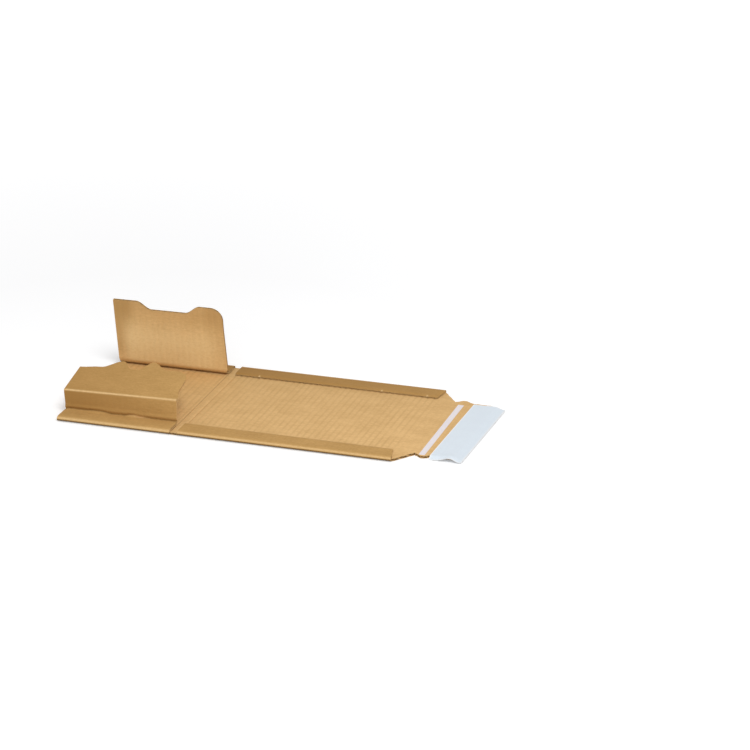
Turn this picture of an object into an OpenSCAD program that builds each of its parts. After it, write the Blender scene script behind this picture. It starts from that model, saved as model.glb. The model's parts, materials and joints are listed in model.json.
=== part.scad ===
// Wrap-around mailer of single-wall corrugated board, lying open.
// X runs along the mailer, Y across it and Z up. The origin is the middle of the base's underside.
// All flutes run along Y when the blank lies flat, so they stand upright in the raised flaps.

/* [Board] */
// Thickness of the corrugated board
board_t = 2.8; // [2.4:0.1:3.4]
// Thickness of each facing paper
facing_t = 0.4; // [0.3:0.05:0.5]
// Thickness of the fluted paper between the facings
medium_t = 0.35; // [0.25:0.05:0.5]
// Distance from one flute crest to the next
flute_pitch = 6.6; // [6:0.1:8]
// Width of the glue bond where a flute crest meets a facing
bond_w = 0.8; // [0.5:0.1:1.2]
// Width of the flattened board beside a crease
crush_w = 3.5; // [3:0.5:5]
// Clearance left in each crease that folds
crease_gap = 0.15; // [0.1:0.05:0.25]

/* [Base] */
// Length of the base along the mailer
base_len = 126; // [110:1:180]
// Distance between the creases of the front and back flaps
tray_w = 151; // [140:1:220]
// Width of the doubled strips along both long sides
strip_w = 24; // [16:1:32]
// Width of the single board between the base strips and the wrap strips
spine_w = 8.7; // [8.6:0.1:20]

/* [Front flap] */
// Height of the upright wall above the doubled strip
wall_h = 23.6; // [15:0.1:50]
// Angle of the cover above the horizontal
cover_rise = 14; // [0:1:40]
// Length of the cover at its left shoulder
cover_left = 42; // [36:0.5:52]
// Length of the cover where the first hump starts
cover_step = 45; // [40:0.5:54]
// Length of the cover at its first hump
cover_hump_a = 58.5; // [54:0.5:66]
// Length of the cover in the dip between the humps
cover_dip = 45.5; // [40:0.5:52]
// Length of the cover at its second hump
cover_hump_b = 61.5; // [54:0.5:68]
// Length of the cover at its right shoulder
cover_right = 49.5; // [44:0.5:54]
// Distance from the cover's middle left to where its first hump starts
cover_step_x = 40; // [34:1:44]
// Distance from the cover's middle left to the top of its first hump
cover_hump_a_x = 19; // [14:1:24]
// Distance from the cover's middle left to where the dip starts
cover_dip_a_x = 6; // [3:1:9]
// Distance from the cover's middle right to where the dip ends
cover_dip_b_x = 1.5; // [0:0.5:5]
// Distance from the cover's middle right to the top of its second hump
cover_hump_b_x = 14; // [10:1:18]
// Distance from the cover's middle right to its right shoulder
cover_right_x = 33; // [28:1:36]
// Radius of the cover's right corner
cover_corner_r = 14; // [8:1:18]
// How far the right edge steps in beside the crease
cover_waist = 3; // [0:0.1:6]
// Length over which the right edge steps in
cover_waist_len = 12; // [6:1:16]

/* [Back flap] */
// Length of the back flap at its two ears
ear_h = 77; // [70:1:95]
// Length of the back flap in the recess between the ears
recess_h = 68; // [58:0.5:85]
// Width of the recess along its floor
recess_w = 38; // [30:1:44]
// Width of the slope between the recess and each ear
recess_slope = 17.5; // [8:0.5:20]
// Inward lean of the back flap from upright
back_lean = 9; // [0:1:25]
// Radius of the back flap's right corner
ear_corner_r = 14; // [5:1:17]
// Clearance between each end of a flap and the end of its strip
flap_end_gap = 0.8; // [0.4:0.1:3]

/* [Wrap panel] */
// Length of the wrap panel's straight, double-edged part
wrap_len = 231.5; // [180:0.5:320]
// Length of the tapered part
taper_len = 17; // [10:1:30]
// How far the tapered part steps in at each side
taper_in = 24.5; // [20:0.5:32]
// How far the strips are cut back at their inner corner
strip_relief = 2.5; // [0:0.5:6]
// Depth of the open flutes along the cut edges of the strips
mouth_depth = 10; // [6:1:14]

/* [Seal flap] */
// Length of the seal flap beyond the taper
seal_len = 43.5; // [38:0.5:60]
// How far the seal flap is wider than the taper's end at each side
seal_step = 5; // [3:0.5:10]
// How far the seal flap narrows again at each side
seal_narrow = 5.5; // [0:0.5:10]
// Length over which the seal flap gets wider
seal_rise_len = 8; // [4:1:12]
// Length over which the seal flap narrows
seal_fall_len = 12; // [6:1:16]
// Width of the small nick at each end of the taper
nick_w = 1.6; // [1:0.1:3]
// Depth of the small nick
nick_d = 1.8; // [1:0.1:4]
// Radius of the seal flap's end corners
seal_corner_r = 3; // [1:0.5:6]

/* [Closure] */
// Width of the tear strip
tear_w = 7.5; // [4:0.5:10]
// Distance from the taper's end to the tear strip
tear_offset = 4.8; // [3:0.1:8]
// How far the tear strip stops short of the taper's end at each side
tear_short = 3; // [0:0.5:10]
// Thickness of the tear strip
tear_t = 0.3; // [0.2:0.05:0.5]
// Gap between the tear strip and the release liner
tear_gap = 7.5; // [5:0.5:10]
// Width of the release liner
liner_w = 35; // [31:0.5:45]
// How much longer the release liner is at each side than the taper's end
liner_over = 2; // [0:0.5:8]
// How far the tear strip and the release liner lie off the middle, towards the front
closure_shift = 5.5; // [0:0.5:6]
// Thickness of the release liner
liner_t = 0.3; // [0.2:0.05:0.4]
// Width of the adhesive band under the release liner
glue_w = 16; // [10:1:18]
// Distance from the release liner's inner edge to the adhesive band
glue_inset = 4; // [2:0.5:6]
// Distance from each end of the adhesive band to the end of the board or of the liner
glue_margin = 2.5; // [1:0.5:5]
// Thickness of the adhesive band
glue_t = 0.3; // [0.2:0.05:0.4]
// How far the free edge of the release liner hangs below its glued part
liner_droop = 1.9; // [0.5:0.1:2]

/* [Hidden] */

kraft_inside = [0.84, 0.70, 0.48];
kraft_outside = [0.72, 0.58, 0.37];
tape_white = [0.90, 0.90, 0.93];
paper_white = [0.87, 0.90, 0.94];
glue_clear = [0.86, 0.80, 0.62];

arc_steps = 8;
wave_steps = 6;
tunnel_steps = 6;
mitre = 45;
join = 0.5;

half_t = board_t / 2;
fold_top = 2 * board_t;
half_w = tray_w / 2 + strip_w;
crease_y = tray_w / 2;
crease_z = fold_top + crease_gap;
base_x0 = -base_len / 2;
base_x1 = base_len / 2;
flap_x0 = base_x0 + flap_end_gap;
flap_x1 = base_x1 - flap_end_gap;
spine_x = base_x1 + spine_w / 2;
wrap_x0 = base_x1 + spine_w;
wrap_x1 = wrap_x0 + wrap_len;
taper_x1 = wrap_x1 + taper_len;
seal_x1 = taper_x1 + seal_len;
cut_y = half_w - half_t;
taper_y = half_w - taper_in;
seal_root_y = taper_y + seal_step;
seal_end_y = seal_root_y - seal_narrow;
tear_x0 = taper_x1 + tear_offset;
liner_x0 = tear_x0 + tear_w + tear_gap;
liner_x1 = liner_x0 + liner_w;
tear_half_l = taper_y - tear_short;
liner_half_l = taper_y + liner_over;
flute_room = board_t - 2 * facing_t - medium_t;
seat_r = half_t + crease_gap;

// Points of an arc about a centre, from one angle to another
function arc(centre, r, a0, a1, steps = arc_steps) =
    [for (i = [0:steps]) let (a = a0 + (a1 - a0) * i / steps) centre + r * [cos(a), sin(a)]];

// Points between two points on a curve that is level at both ends
function swell(p, q, steps = wave_steps) =
    [for (i = [0:steps - 1]) let (s = i / steps, k = (1 - cos(180 * s)) / 2)
        [p[0] + (q[0] - p[0]) * s, p[1] + (q[1] - p[1]) * k]];

// A run of swells through a list of points
function swells(points) =
    concat([for (i = [0:len(points) - 2]) each swell(points[i], points[i + 1])], [points[len(points) - 1]]);

function flipped(points) = [for (i = [len(points) - 1:-1:0]) [points[i][0], -points[i][1]]];

// A profile of Y and Z drawn out along X
module along_x(x0, x1) {
    translate([x0, 0, 0]) rotate([90, 0, 90]) linear_extrude(height = x1 - x0) children();
}

// A profile of X and Z drawn out along Y
module along_y(y0, y1) {
    translate([0, y1, 0]) rotate([90, 0, 0]) linear_extrude(height = y1 - y0) children();
}

// One open flute in section: flat against a facing, curved along the fluted paper
module flute_void(x, face_y, side) {
    half_void = (flute_pitch - bond_w) / 2;
    polygon([for (i = [0:tunnel_steps]) let (s = 2 * i / tunnel_steps - 1)
        [x + s * half_void, face_y - side * flute_room * (1 + cos(180 * s)) / 2]]);
}

// Section of the board from x0 to x1, with its flutes open and its outer facing below
module board_section(x0, x1) {
    first = floor(x0 / flute_pitch) - 1;
    last = ceil(x1 / flute_pitch) + 1;
    difference() {
        translate([x0, 0]) square([x1 - x0, board_t]);
        for (i = [first:last]) {
            flute_void(i * flute_pitch, board_t - facing_t, 1);
            flute_void((i + 0.5) * flute_pitch, facing_t, -1);
        }
    }
}

// Profile of a board folded back on itself at its outer edge, for the side where Y is negative
function folded_edge() =
    arc([board_t - half_w, board_t], board_t, 270, 90, 2 * arc_steps);

// Base profile: a panel with both sides folded in, each strip ending in a mitre at its crease
module base_profile() {
    strip_end = crease_y + crease_gap;
    side = concat(folded_edge(), [[-strip_end, fold_top], [-strip_end - board_t, board_t]]);
    polygon(concat(side, [for (i = [len(side) - 1:-1:0]) [-side[i][0], side[i][1]]]));
}

// Round end of a panel, which the next panel turns on
module hinge_round_profile(x0, x1) {
    polygon(concat([[x0, 0]], arc([x1, half_t], half_t, -90, 90), [[x0, board_t]]));
}

// Hollow end of a panel, along its length and thickness, that turns about the origin
// towards the side where its thickness is negative
module hinge_seat_profile(length) {
    lift = asin(half_t / seat_r);
    inner = half_t + 2 * crease_gap;
    polygon(concat(arc([0, 0], seat_r, lift, 0), [[inner, 0], [inner, -half_t],
        [length, -half_t], [length, half_t]]));
}

// Foot of an upright panel: a rounded bend with a mitre, so that it turns both ways on the crease
module foot_profile(height) {
    polygon(concat([[0, 0]], arc([0, 0], board_t, -mitre, 0), [[board_t, height], [0, height]]));
}

// Outline of the cover's free end, in X and distance from its crease
module cover_outline() {
    edge_x = flap_x1 - cover_waist;
    humps = swells([[flap_x0, cover_left], [-cover_step_x, cover_step], [-cover_hump_a_x, cover_hump_a],
        [-cover_dip_a_x, cover_dip], [cover_dip_b_x, cover_dip], [cover_hump_b_x, cover_hump_b],
        [cover_right_x, cover_right]]);
    corner = arc([edge_x - cover_corner_r, cover_right - cover_corner_r], cover_corner_r, 90, 0);
    waist = [for (p = swell([crush_w, 0], [crush_w + cover_waist_len, cover_waist])) [flap_x1 - p[1], p[0]]];
    waist_up = [for (i = [len(waist) - 1:-1:0]) waist[i]];
    polygon(concat([[flap_x0, 0]], humps, corner, waist_up, [[flap_x1, 0]]));
}

// Outline of the back flap, in X and distance from its crease
module back_outline() {
    floor_x = recess_w / 2;
    ear_x = floor_x + recess_slope;
    down = swells([[-ear_x, ear_h], [-floor_x, recess_h]]);
    up = swells([[floor_x, recess_h], [ear_x, ear_h]]);
    corner = arc([flap_x1 - ear_corner_r, ear_h - ear_corner_r], ear_corner_r, 90, 0);
    polygon(concat([[flap_x0, 0], [flap_x0, ear_h]], down, up, corner, [[flap_x1, 0]]));
}

// Outline of the taper and the seal flap, from inside the straight part to the free end
module seal_outline() {
    root_x = taper_x1 + nick_w;
    widest_x = root_x + seal_rise_len;
    side = concat(
        [[wrap_x1 - join, cut_y], [wrap_x1, cut_y], [taper_x1, taper_y]],
        [[taper_x1 + nick_w / 2, taper_y - nick_d]],
        swells([[root_x, taper_y], [widest_x, seal_root_y], [widest_x + seal_fall_len, seal_end_y]]),
        arc([seal_x1 - seal_corner_r, seal_end_y - seal_corner_r], seal_corner_r, 90, 0));
    polygon(concat(side, flipped(side)));
}

// Wrap profile away from the strips' cut edges: a panel with both sides folded in
module wrap_profile() {
    edge = crease_y + mouth_depth;
    side = concat(folded_edge(), [[-edge, fold_top], [-edge, board_t]]);
    polygon(concat(side, [for (i = [len(side) - 1:-1:0]) [-side[i][0], side[i][1]]]));
}

// Corner cut off the end of one folded strip
module strip_relief_cut() {
    linear_extrude(height = fold_top + join)
        polygon([[wrap_x1 + join, -half_w - join], [wrap_x1 + join, join - crease_y],
            [wrap_x1 - strip_relief, join - crease_y], [wrap_x1 - strip_relief, -crease_y],
            [wrap_x1, -half_w]]);
}

// Inner half of one folded strip, with its flutes open along the cut edge
module strip_mouth() {
    along_y(-crease_y - mouth_depth, -crease_y)
        translate([0, fold_top]) mirror([0, 1]) board_section(wrap_x0, wrap_x1);
}

module base_panel() {
    color(kraft_inside) union() {
        along_x(base_x0, base_x1) base_profile();
        along_y(-cut_y, cut_y) hinge_round_profile(base_x1 - join, spine_x);
    }
}

module front_wall() {
    color(kraft_outside) translate([0, -crease_y, crease_z]) along_x(flap_x0, flap_x1) union() {
        foot_profile(wall_h - half_t);
        translate([half_t, wall_h - half_t]) circle(d = board_t, $fn = 4 * arc_steps);
    }
}

module front_cover() {
    color(kraft_outside)
        translate([0, half_t - crease_y, crease_z + wall_h - half_t]) rotate([cover_rise, 0, 0]) union() {
            along_x(flap_x0, flap_x1) hinge_seat_profile(crush_w);
            intersection() {
                along_y(crush_w, max(cover_hump_a, cover_hump_b) + join)
                    translate([0, half_t]) mirror([0, 1]) board_section(flap_x0, flap_x1);
                translate([0, 0, -board_t]) linear_extrude(height = 2 * board_t) cover_outline();
            }
        }
}

module back_flap() {
    color(kraft_inside)
        translate([0, crease_y, crease_z]) rotate([back_lean, 0, 0]) mirror([0, 1, 0]) union() {
            along_x(flap_x0, flap_x1) foot_profile(crush_w);
            intersection() {
                translate([0, 0, crush_w]) linear_extrude(height = ear_h - crush_w + join)
                    board_section(flap_x0, flap_x1);
                translate([0, 2 * board_t, 0]) rotate([90, 0, 0])
                    linear_extrude(height = 3 * board_t) back_outline();
            }
        }
}

module wrap_panel() {
    color(kraft_inside) union() {
        along_y(-cut_y, cut_y) translate([spine_x, half_t]) mirror([0, 1])
            hinge_seat_profile(spine_w / 2 + join);
        difference() {
            union() {
                along_x(wrap_x0, wrap_x1) wrap_profile();
                strip_mouth();
                mirror([0, 1, 0]) strip_mouth();
            }
            translate([0, 0, board_t]) strip_relief_cut();
            mirror([0, 1, 0]) translate([0, 0, board_t]) strip_relief_cut();
        }
        intersection() {
            along_y(-half_w, half_w) board_section(wrap_x1 - join, seal_x1);
            translate([0, 0, -join]) linear_extrude(height = board_t + 2 * join) seal_outline();
        }
    }
}

module tear_strip() {
    color(tape_white) translate([tear_x0, -closure_shift - tear_half_l, board_t])
        cube([tear_w, 2 * tear_half_l, tear_t]);
}

module adhesive_band() {
    y0 = max(-closure_shift - liner_half_l, -seal_end_y) + glue_margin;
    y1 = min(liner_half_l - closure_shift, seal_end_y) - glue_margin;
    color(glue_clear) translate([liner_x0 + glue_inset, y0, board_t]) cube([glue_w, y1 - y0, glue_t]);
}

// The liner lies on the adhesive and hangs down past the end of the seal flap
module release_liner() {
    z0 = board_t + glue_t;
    low = z0 - liner_droop;
    color(paper_white) along_y(-closure_shift - liner_half_l, liner_half_l - closure_shift)
        polygon([[liner_x0, z0], [seal_x1 + liner_t, z0], [liner_x1, low], [liner_x1, low + liner_t],
            [seal_x1 + 2 * liner_t, z0 + liner_t], [liner_x0, z0 + liner_t]]);
}

base_panel();
front_wall();
front_cover();
back_flap();
wrap_panel();
tear_strip();
adhesive_band();
release_liner();
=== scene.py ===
# A wrap-around mailer of corrugated board that lies open: its plies, creases and closure,
# their materials, and plain studio light. Lengths are in millimetres until a mesh is made.
import json
import math

import bpy
import numpy as np
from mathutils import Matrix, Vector

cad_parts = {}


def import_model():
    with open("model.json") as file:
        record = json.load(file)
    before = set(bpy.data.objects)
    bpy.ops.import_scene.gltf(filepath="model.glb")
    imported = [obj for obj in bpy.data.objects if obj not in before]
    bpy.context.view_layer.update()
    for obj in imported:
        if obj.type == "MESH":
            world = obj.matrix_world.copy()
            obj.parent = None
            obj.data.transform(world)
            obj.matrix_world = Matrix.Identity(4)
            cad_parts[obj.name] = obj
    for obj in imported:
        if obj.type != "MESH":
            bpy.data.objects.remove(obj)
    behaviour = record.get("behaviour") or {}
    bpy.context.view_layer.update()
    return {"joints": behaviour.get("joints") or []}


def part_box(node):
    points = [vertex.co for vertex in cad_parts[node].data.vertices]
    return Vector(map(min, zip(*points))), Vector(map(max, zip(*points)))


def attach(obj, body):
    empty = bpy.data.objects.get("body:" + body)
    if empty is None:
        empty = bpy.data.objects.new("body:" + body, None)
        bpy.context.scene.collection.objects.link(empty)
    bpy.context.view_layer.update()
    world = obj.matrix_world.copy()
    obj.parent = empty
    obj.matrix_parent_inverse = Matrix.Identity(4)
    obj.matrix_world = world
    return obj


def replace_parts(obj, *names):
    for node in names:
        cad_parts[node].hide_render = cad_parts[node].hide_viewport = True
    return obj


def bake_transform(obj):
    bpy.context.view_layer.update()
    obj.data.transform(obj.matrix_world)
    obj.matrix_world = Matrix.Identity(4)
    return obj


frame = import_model()

MM = 0.001
SEED = 7


# Sizes read from the frame

def corners(node):
    """Lowest and highest corner of a CAD node in millimetres"""
    return [[v / MM for v in corner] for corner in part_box(node)]


pivot = {j["name"]: [v / MM for v in j["pos_m"]] for j in frame["joints"]}
(base_x0, _, _), (_, half_w, fold_top) = corners("base_panel")
(flap_x0, _, _), (flap_x1, _, _) = corners("back_flap")
(_, _, _), (board_x1, _, _) = corners("wrap_panel")
tear_lo, tear_hi = corners("tear_strip")
glue_lo, glue_hi = corners("adhesive_band")
liner_lo, liner_hi = corners("release_liner")

board = fold_top / 2
base_x1 = -base_x0
spine_x = pivot["wrap_fold"][0]
wrap_x0 = 2 * spine_x - base_x1
crease_y = pivot["back_flap_fold"][1]
cover_z = pivot["front_cover_fold"][2]

# Sizes of the board
FACING = 0.4
MEDIUM = 0.35
PITCH = 6.6
STEPS_PER_FLUTE = 12
RIDGE_INSIDE = 0.16
RIDGE_OUTSIDE = 0.07
RIDGE_UNEVEN, RIDGE_UNEVEN_SIZE = 0.25, 60
VALLEY_POWER = 1.5
FLUTE_FLATS = 1.2

# Sizes of the flaps
COVER_RISE = 14
COVER_REACH = 64
COVER_WAIST = 3
COVER_WAIST_START = 3.5
COVER_WAIST_RUN = 12
COVER_CORNER = 14
COVER_LEFT, COVER_STEP, COVER_HUMP_A = 42, 45, 58.5
COVER_DIP, COVER_HUMP_B, COVER_RIGHT = 45.5, 61.5, 49.5
COVER_STEP_X, COVER_HUMP_A_X, COVER_DIP_A_X = -40, -19, -6
COVER_DIP_B_X, COVER_HUMP_B_X, COVER_RIGHT_X = 1.5, 14, 33
BACK_LEAN = 9
BACK_TWIST = 1
EAR, RECESS = 77, 68
RECESS_X, EAR_X = 19, 36.5
EAR_CORNER = 14

# Sizes of the wrap panel's end
WRAP_LENGTH = 231.5
TAPER_LENGTH = 17
TAPER_Y = 75
NICK_W, NICK_D = 1.6, 1.8
SEAL_ROOT_Y = 80
SEAL_END_Y = 74.5
SEAL_RISE, SEAL_FALL = 8, 12
SEAL_CORNER = 3
FRONT_RELIEF, BACK_RELIEF = 4.5, 2.5
RELIEF_START, RELIEF_FADE = 2, 12
CUT_EDGE = 1.4
SCALLOP, SCALLOP_FADE = 0.5, 2

taper_x0 = wrap_x0 + WRAP_LENGTH
taper_x1 = taper_x0 + TAPER_LENGTH

# Sizes of the creases. A crush is a share of the board's thickness, and a name that ends in W is
# the width of the effect.
FOOT_ROUND = 0.5
SEAM = 5
WALL_SEAM = 9
CRUSH, COVER_CRUSH, CRUSH_W = 0.5, 0.56, 2.6
SPINE_CRUSH, SPINE_CRUSH_W = 0.2, 0.8
FOLD_THINNING, FOLD_THINNING_RUN = 0.05, 3
FOLD_FLATTENED, FOLD_FLATTENED_W = 0.9, 5
CREASE_FLATTENED, CREASE_FLATTENED_W = 0.85, 2.5

# How far edges and folds are pressed. The front strip's cut edge has a share at its left end and
# one at its right end.
EDGE_CRUSH, EDGE_CRUSH_W = 0.42, 1.8
FRONT_EDGE_SHARES = (0.15, 0.85)
END_CRUSH, END_CRUSH_W, END_CRUSH_START = 0.5, 2.2, 3
FOLD_PRESS, BACK_FOLD_PRESS, FOLD_PRESS_W = 0.16, 0.08, 5

# How far the flaps have spread, turned and bulged
WALL_SPREAD, WALL_SPREAD_LOW, WALL_SPREAD_FADE = 2.0, 0.4, 0.6
WALL_SKEW, WALL_SKEW_CENTRE = 1.4, 0.3
FLAP_SPREAD, FLAP_SPREAD_HEIGHT = 2.0, 55
FOOT_BULGE, FOOT_BULGE_AT, FOOT_BULGE_W = 0.9, 3.2, 2
FOOT_PINCH, FOOT_PINCH_AT, FOOT_PINCH_W = 0.5, 0.2, 0.8

# How far up the wall the front flap's foot has folded: places along the mailer with their heights
CRUMPLE_LEFT = [(-63, -0.6), (-58, 0.6), (-41, 0.7), (-31, 1.4), (-24, 1.4), (-9, -0.4), (0, 0)]
CRUMPLE_MIDDLE = [(3, 0), (9, 1.2), (14, 1.4), (20, 0)]
CRUMPLE_UNEVEN, CRUMPLE_UNEVEN_SIZE = 0.1, 14
CRUMPLE_ON_STRIP, CRUMPLE_ON_WALL = 3.6, 8

# Small bridges that the die left uncut, along the cut edge of the wrap panel's back strip
NICKS = (99, 238, 288.6)
NICK_REACH = 0.9
NICK_HALF = 0.7
NICK_ROOT = 1.2

# Pale places: stretched and scuffed folds and creases with a painted highlight on them, torn bridges,
# # painted light in the open part of the front flap's foot crease, and painted light on the back flap's
# inner side low down
FOLD_SCUFF_AND_HIGHLIGHT = 0.75
FRONT_HIGHLIGHT_IN, BACK_HIGHLIGHT_IN = 2.8, 0.6
BASE_HIGHLIGHT_W, WRAP_HIGHLIGHT_W, BACK_HIGHLIGHT_W = 1.7, 1.3, 0.9
BACK_HIGHLIGHT_END, BACK_HIGHLIGHT_FADE = 300, 120
COVER_HIGHLIGHT_W = 1.1
OPEN_CREASE_X, OPEN_CREASE_W = 20, 9
OPEN_CREASE_LIGHT, OPEN_CREASE_LIGHT_W = 0.6, 1.6
NICK_SCUFF_W, NICK_SCUFF_REACH = 0.9, 1.3
SPINE_HIGHLIGHT, SPINE_HIGHLIGHT_IN, SPINE_HIGHLIGHT_W = 0.3, 2, 2
SPINE_HIGHLIGHT_Y, SPINE_HIGHLIGHT_RUN = 60, 30
FLAP_PAINTED_LIGHT, FLAP_PALE_START = 0.95, 4
FLAP_PALE_TOP, FLAP_PALE_FADE = 0.35, 0.5
FLAP_PALE_LEFT_IN, FLAP_PALE_LEFT_RUN = 1, 18
FLAP_PALE_RIGHT, FLAP_PALE_RIGHT_RUN = 0.45, 24

# Painted shadow: dark lines on the lower half of the long folds, and painted shade in the valleys of
# creases
UNDER_DARK = 0.88
UNDER_START, UNDER_START_RUN = 0.5, 1.5
UNDER_END, UNDER_END_RUN = 4.9, 1.4
WALL_FOOT_DARK, WALL_FOOT_DARK_W = 0.45, 0.6
FLAP_FOOT_DARK, FLAP_FOOT_DARK_W = 0.5, 0.8
SPINE_DARK, SPINE_DARK_W = 0.35, 0.7

# Shares of painted shade, for the parts that lie in less light. A pair is for the left end and the right
# one.
FRONT_STRIP_TONE = (0.15, 0)
BACK_STRIP_TONE = (0.85, 0.45)
BACK_LINE_TONE, BACK_LINE_IN, BACK_LINE_W = 0.3, 3, 1.3
WALL_TONE = (0.82, 0.24)
COVER_TONE = (0.32, 0.05)
TONE_EDGE = 1.5
FLAP_TOP_TONE, FLAP_TOP_FROM = 0.48, 0.4
FLAP_LEFT_TONE, FLAP_LEFT_W, FLAP_LEFT_SLANT, FLAP_LEFT_FADE = 0.6, 20, 10, 18
FLAP_RIGHT_TONE, FLAP_RIGHT_W, FLAP_RIGHT_FADE = 0.28, 26, 12
FLAP_SIDES_RISE = 3
PANEL_TONE = (0.16, 0)
MIDDLE_TONE, MIDDLE_TONE_Y, MIDDLE_TONE_RUN = 0.08, -40, 60
REAR_TONE, REAR_TONE_Y, REAR_TONE_RUN = 0.1, 40, 30

# How clearly the flutes show through the facing as darker lines: glue lines, with painted shade along the
# valleys
SHOW_RIDGES, SHOW_RIDGES_UNEVEN, SHOW_RIDGES_SIZE = 0.7, 0.6, 50
SHOW_ELSEWHERE = 0.25

# Sizes of the closure
TAPE_THICKNESS, TAPE_INSET, TAPE_LIFT = 0.14, 1.2, 0.03
TAPE_UNEVEN, TAPE_UNEVEN_SIZE = 0.03, 18
BEAD_SINK, BEAD_EDGE, BEAD_CROWN, BEAD_SHOULDER = 0.05, 0.12, 0.12, 1.5
BEAD_UNEVEN, BEAD_UNEVEN_SIZE = 0.02, 9
LAID_ON_RIDGES = 0.6
PAPER_THICKNESS, PAPER_RIM, PAPER_LIFT = 0.16, 1.8, 0.3
RIM_SHARE = 0.8
PAPER_UNEVEN, PAPER_UNEVEN_SIZE = 0.12, 34
LINER_TURN = 1.5
DROOP, DROOP_RUN = 1.9, 9
FRONT_ARCH, FRONT_ARCH_Y, FRONT_ARCH_RUN = 3.0, -58, 22
BACK_ARCH, BACK_ARCH_Y, BACK_ARCH_RUN = 2.0, 64, 16
ARCH_POWER, ARCH_IN, ARCH_W = 1.6, 1.5, 9
SAG, SAG_Y, SAG_RUN, SAG_END, SAG_ARCH = 2.7, -75.6, 6.9, 14, 0.35

# Grain of the facings: how often it repeats in a millimetre along, across and through the sheet
CLOUDS = (0.03, 0.05, 0.05)
FORMATION = (0.35, 0.55, 0.5)
FIBRES = (0.5, 4.0, 1.0)
STREAKS = (0.11, 0.65, 1.0)
SPECKS = (0.9, 1.6, 1.0)
PALE_FIBRES = (0.6, 2.4, 1.0)
EDGE_FUZZ = (1.5, 1.5, 3.0)
FILM_CLOUDS = (0.06, 0.06, 0.06)
FILM_GRAIN = (1.2, 1.2, 1.2)
CLOUD_SHARE, FORMATION_SHARE, STREAK_SHARE = 0.3, 0.35, 0.35
SPECK_SHARE, PALE_SHARE = 0.35, 0.25
SPECK_SHADE, PALE_SHADE, VALLEY_SHADE = 0.55, 1.15, 0.4

# Ranges of the grain that a ramp spreads from 0 to 1, or to a second pair of ends
GRADE_RANGE = (0.385, 0.615)
STRIPE_RANGE = (0.1, 1.0)
SPECK_RANGE = (0.70, 0.78)
PALE_RANGE = (0.68, 0.78)
FUZZ_RANGE = (0.3, 0.7)
MOTTLE_RANGE = (0.3, 0.7)
SCUFF_AND_HIGHLIGHT_GRAIN = (0.25, 0.6, 0.6, 1.0)
KRAFT_ROUGHNESS = (0.2, 0.8, 0.78, 0.92)
FILM_ROUGHNESS_SPAN = 0.06

# Relief of the grain: its height in metres, how strongly it tells, and the shares of its parts
KRAFT_GRAIN, KRAFT_RELIEF = 0.00012, 0.5
EDGE_GRAIN, EDGE_RELIEF = 0.0002, 0.6
FILM_RELIEF = 0.4
FIBRE_HEIGHT, FORMATION_HEIGHT = 0.6, 0.4

# Gloss of the board, roughness of its raw edges, and the shares of the film's mottling
BOARD_SPECULAR, EDGE_ROUGHNESS = 0.2, 0.9
FILM_CLOUD_SHARE, FILM_GRAIN_SHARE = 0.7, 0.3

# Colours of the board's raw edges and of the paper's cut rim
RAW_DARK, RAW_LIGHT = (0.36, 0.22, 0.085), (0.62, 0.42, 0.19)
RIM_COLOUR = (0.86, 0.85, 0.83)

# The meshes: the angle in degrees over which an edge is sharp, how far close rows reach past a
# crease, how far the last rows lie from a cut edge, and counts of rows
SHARP_ANGLE = 50
CREASE_HALF, COVER_CREASE_MARGIN = 1.2, 0.6
ROWS_BY_EDGE = (3.0, 1.2, 0.4, 0.0)
STRIP_ROWS, FOLD_ROWS, FLOOR_ROWS, CREASE_ROWS = 8, 14, 22, 8
TAPE_ROWS, LINER_ROWS = 60, 90

# How many waves make a ripple, and the range of their lengths
RIPPLE_WAVES, RIPPLE_RANGE = 5, (0.6, 1.5)


def smooth(x):
    """Smooth step from 0 to 1 while x goes from 0 to 1"""
    x = np.clip(x, 0, 1)
    return x * x * (3 - 2 * x)


def bump(x, centre, width):
    """Rounded hill of height 1 at its centre"""
    return np.exp(-(((x - centre) / width) ** 2))


def between(share, ends):
    """The value at a share of the way from the first of two ends to the second"""
    return ends[0] + (ends[1] - ends[0]) * share


def ripple(s, t, size, seed):
    """Slow unevenness from -1 to 1 with features of about the given size"""
    random = np.random.default_rng(SEED + seed)
    total = np.zeros(np.broadcast(s, t).shape)
    for _ in range(RIPPLE_WAVES):
        angle, phase = random.uniform(0, 2 * math.pi, 2)
        k = random.uniform(*RIPPLE_RANGE) * 2 * math.pi / size
        total += np.sin(k * (s * math.cos(angle) + t * math.sin(angle)) + phase)
    return total / RIPPLE_WAVES


class Run:
    """The line of the outer face across the board, in Y and Z, from the floor's middle outwards.
    A leg is a length and a turn in degrees, positive towards the inner face."""

    def __init__(self, *legs):
        self.legs = []
        start, y, z, heading = 0.0, 0.0, 0.0, 0.0
        for length, turn in legs:
            leg = (start, y, z, heading, math.radians(turn) / length)
            self.legs.append(leg)
            y, z, heading = (float(v) for v in self.leg_at(leg, np.array(start + length)))
            start += length

    @staticmethod
    def leg_at(leg, t):
        start, y, z, heading, bend = leg
        d = t - start
        if bend == 0:
            return y + d * math.cos(heading), z + d * math.sin(heading), heading + 0 * d
        now = heading + bend * d
        return (y + (np.sin(now) - math.sin(heading)) / bend,
                z - (np.cos(now) - math.cos(heading)) / bend, now)

    def at(self, t):
        y, z, heading = self.leg_at(self.legs[0], t)
        for leg in self.legs[1:]:
            here = t >= leg[0]
            values = self.leg_at(leg, t)
            y, z, heading = (np.where(here, new, old) for new, old in zip(values, (y, z, heading)))
        return y, z, heading

    def start_of(self, number):
        return self.legs[number][0]


floor_w = half_w - board
fold_len = math.pi * board
strip_len = floor_w - crease_y


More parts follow.
